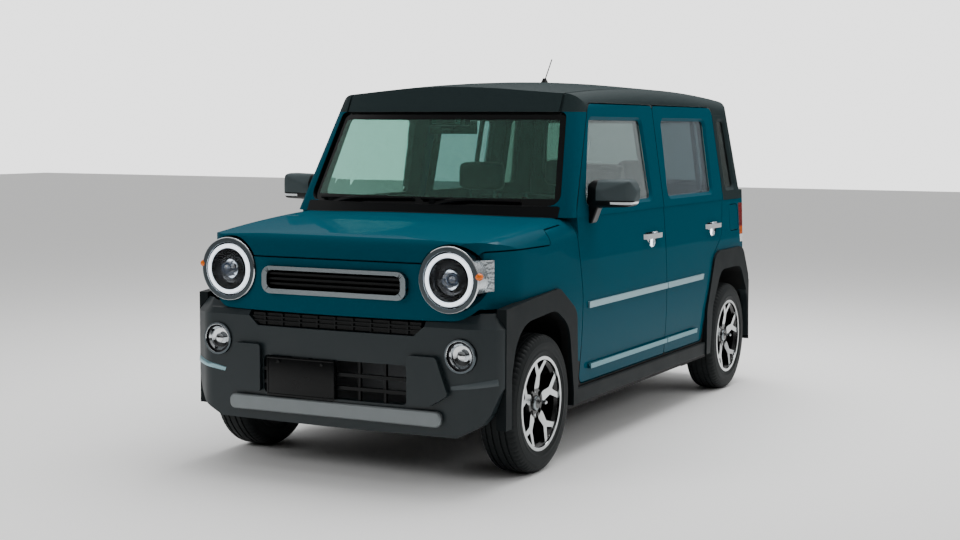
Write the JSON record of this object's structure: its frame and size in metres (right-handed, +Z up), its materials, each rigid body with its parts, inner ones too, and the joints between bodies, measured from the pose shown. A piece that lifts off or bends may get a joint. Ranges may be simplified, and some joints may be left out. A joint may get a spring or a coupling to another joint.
{
  "type": "five-door box-shaped light car",
  "caption": "Small upright hatchback with round lamps, opening doors, bonnet and tailgate, steered front wheels and a cabin with seats.",
  "frame": {"origin": "on the ground, in the middle of the car's length and width", "axes": "+Z up, the car faces -Y, +X is the car's left side"},
  "size_m": [1.83, 3.3921, 1.78],
  "materials": {
    "body_paint": "gloss metallic",
    "roof_paint": "gloss metallic",
    "bumper_plastic": "fine grain",
    "dark_plastic": "satin",
    "silver_plastic": "satin silver",
    "lamp_lens": "clear lens over chrome",
    "red_lens": "clear red",
    "window_glass": "polished",
    "cast_alloy": "as cast",
    "chassis_steel": "satin black",
    "exhaust_steel": "dull",
    "cabin_plastic": "grained",
    "wheel_rim_cover": "smooth",
    "seat_cloth": "woven",
    "mirror_glass": "polished",
    "tyre_rubber": "satin",
    "wheel_alloy": "machined face, black pockets"
  },
  "bodies": {
    "body": {"body_shell": "body_paint", "nose_panel": "body_paint", "front_fenders": "body_paint", "floor_pan": "chassis_steel", "front_structure": "chassis_steel", "roof": "roof_paint", "quarter_panels": "roof_paint", "grilles": "dark_plastic", "front_bumper": "bumper_plastic", "rear_bumper": "bumper_plastic", "arch_mouldings": "bumper_plastic", "sill_covers": "bumper_plastic", "cowl": "dark_plastic", "bumper_bar": "silver_plastic", "front_lamps": "lamp_lens", "tail_lamps": "red_lens", "fixed_glass": "window_glass", "aerial": "dark_plastic", "engine_block": "cast_alloy", "front_axle": "chassis_steel", "rear_axle": "chassis_steel", "exhaust": "exhaust_steel", "fuel_tank": "dark_plastic", "dashboard": "cabin_plastic", "seat_bases": "chassis_steel", "front_seats": "seat_cloth", "rear_seat": "seat_cloth", "interior_mirror": "mirror_glass"},
    "bonnet": {"bonnet": "body_paint"},
    "tailgate": {"tailgate": "body_paint", "tailgate_glass": "window_glass"},
    "fuel_lid": {"fuel_lid": "body_paint"},
    "front_door_left": {"front_door_left": "body_paint", "front_door_glass_left": "window_glass", "door_mirror_left": "dark_plastic"},
    "front_door_right": {"front_door_right": "body_paint", "front_door_glass_right": "window_glass", "door_mirror_right": "dark_plastic"},
    "rear_door_left": {"rear_door_left": "body_paint", "rear_door_glass_left": "window_glass"},
    "rear_door_right": {"rear_door_right": "body_paint", "rear_door_glass_right": "window_glass"},
    "steering_wheel": {"steering_wheel": "wheel_rim_cover"},
    "knuckle_left": {"knuckle_left": "chassis_steel"},
    "knuckle_right": {"knuckle_right": "chassis_steel"},
    "front_wheel_left": {"front_wheel_left": "wheel_alloy", "front_tyre_left": "tyre_rubber"},
    "front_wheel_right": {"front_wheel_right": "wheel_alloy", "front_tyre_right": "tyre_rubber"},
    "rear_wheel_left": {"rear_wheel_left": "wheel_alloy", "rear_tyre_left": "tyre_rubber"},
    "rear_wheel_right": {"rear_wheel_right": "wheel_alloy", "rear_tyre_right": "tyre_rubber"}
  },
  "joints": [
    {"name": "bonnet_hinge", "type": "hinge", "parent": "body", "child": "bonnet", "pos_m": [0, -0.891, 1.068], "axis": [-1, 0, 0], "range_deg": [0, 55]},
    {"name": "tailgate_hinge", "type": "hinge", "parent": "body", "child": "tailgate", "pos_m": [0, 1.436, 1.656], "axis": [1, 0, 0], "range_deg": [0, 80]},
    {"name": "fuel_lid_hinge", "type": "hinge", "parent": "body", "child": "fuel_lid", "pos_m": [0.719, 1.274, 0.937], "axis": [0, 0, -1], "range_deg": [0, 100]},
    {"name": "front_door_left_hinge", "type": "hinge", "parent": "body", "child": "front_door_left", "pos_m": [0.742, -0.83, 0.7], "axis": [0, 0, -1], "range_deg": [0, 65]},
    {"name": "front_door_right_hinge", "type": "hinge", "parent": "body", "child": "front_door_right", "pos_m": [-0.742, -0.83, 0.7], "axis": [0, 0, 1], "range_deg": [0, 65]},
    {"name": "rear_door_left_hinge", "type": "hinge", "parent": "body", "child": "rear_door_left", "pos_m": [0.742, 0.254, 0.7], "axis": [0, 0, -1], "range_deg": [0, 65]},
    {"name": "rear_door_right_hinge", "type": "hinge", "parent": "body", "child": "rear_door_right", "pos_m": [-0.742, 0.254, 0.7], "axis": [0, 0, 1], "range_deg": [0, 65]},
    {"name": "steer_left", "type": "hinge", "parent": "body", "child": "knuckle_left", "pos_m": [0.576, -1.22, 0.209], "axis": [-0.0887, 0, 0.9961], "range_deg": [-35, 35]},
    {"name": "steer_right", "type": "hinge", "parent": "body", "child": "knuckle_right", "pos_m": [-0.576, -1.22, 0.209], "axis": [0.0887, 0, 0.9961], "range_deg": [-35, 35]},
    {"name": "steering_column", "type": "hinge", "parent": "body", "child": "steering_wheel", "pos_m": [-0.33, -0.43, 0.93], "axis": [0, 0.9063, 0.4226], "range_deg": [-490, 490]},
    {"name": "front_left_spin", "type": "hinge", "parent": "knuckle_left", "child": "front_wheel_left", "pos_m": [0.6485, -1.22, 0.2895], "axis": [1, 0, 0], "continuous": true},
    {"name": "front_right_spin", "type": "hinge", "parent": "knuckle_right", "child": "front_wheel_right", "pos_m": [-0.6485, -1.22, 0.2895], "axis": [1, 0, 0], "continuous": true},
    {"name": "rear_left_spin", "type": "hinge", "parent": "body", "child": "rear_wheel_left", "pos_m": [0.6485, 1.24, 0.2895], "axis": [1, 0, 0], "continuous": true},
    {"name": "rear_right_spin", "type": "hinge", "parent": "body", "child": "rear_wheel_right", "pos_m": [-0.6485, 1.24, 0.2895], "axis": [1, 0, 0], "continuous": true}
  ],
  "couplings": [
    {"joint": "steer_right", "follows": "steer_left", "ratio": 1},
    {"joint": "steering_column", "follows": "steer_left", "ratio": 14}
  ]
}
